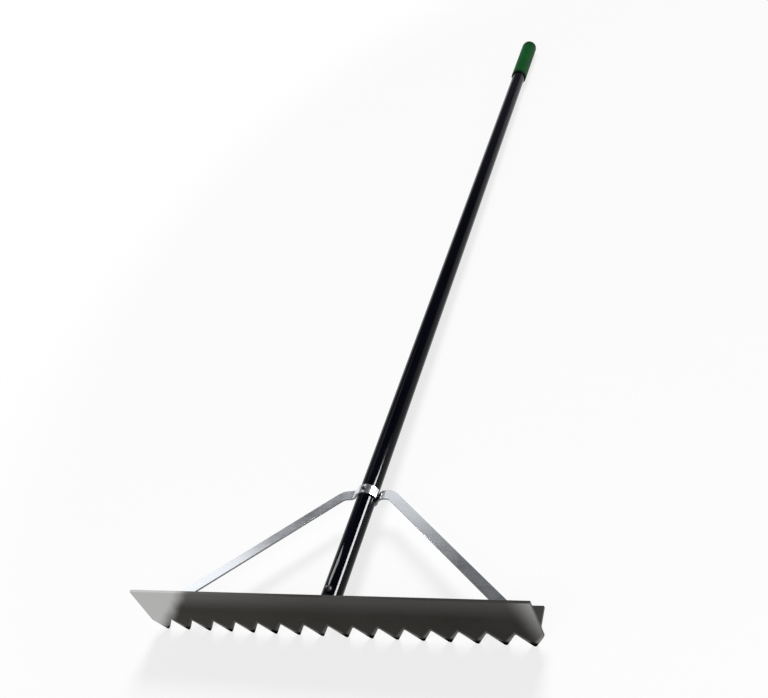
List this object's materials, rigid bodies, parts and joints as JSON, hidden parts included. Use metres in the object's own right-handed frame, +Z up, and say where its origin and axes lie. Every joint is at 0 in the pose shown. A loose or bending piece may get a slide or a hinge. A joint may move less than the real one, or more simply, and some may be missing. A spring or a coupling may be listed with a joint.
{
  "type": "leveling rake",
  "caption": "Long-handled leveling rake: a flat metal blade with a saw-toothed edge and a straight edge, braced by two flat bars hooked round a black tube handle with a green end grip.",
  "frame": {"origin": "on the ground under the middle of the tool's bounding box, with the tool lying on its tooth tips and the end of its grip", "axes": "+X along the blade, to the right seen from the blade towards the grip; +Y along the handle, from the blade to the grip; +Z up, from the tooth tips to the straight edge"},
  "size_m": [0.61, 1.7654, 0.093],
  "materials": {
    "blade_steel": "dark satin, rubbed bright at the ends",
    "brace_aluminium": "bright",
    "handle_black": "gloss black coat on a steel tube",
    "core_wood": "plain",
    "grip_green": "satin vinyl",
    "zinc_steel": "zinc plated",
    "black_steel": "black oxide"
  },
  "bodies": {
    "root": {"toothed_blade": "blade_steel", "handle_tube": "handle_black", "handle_core": "core_wood", "end_grip": "grip_green", "brace_left": "brace_aluminium", "brace_right": "brace_aluminium", "upper_hook_screw": "black_steel", "lower_hook_screw": "black_steel", "front_handle_bolt": "black_steel", "front_handle_nut": "black_steel", "front_upper_saddle_washer": "black_steel", "front_lower_saddle_washer": "black_steel", "rear_handle_bolt": "black_steel", "rear_handle_nut": "black_steel", "rear_upper_saddle_washer": "black_steel", "rear_lower_saddle_washer": "black_steel", "left_foot_bolt": "zinc_steel", "left_foot_washer": "zinc_steel", "left_foot_nut": "zinc_steel", "right_foot_bolt": "zinc_steel", "right_foot_washer": "zinc_steel", "right_foot_nut": "zinc_steel"}
  },
  "joints": []
}
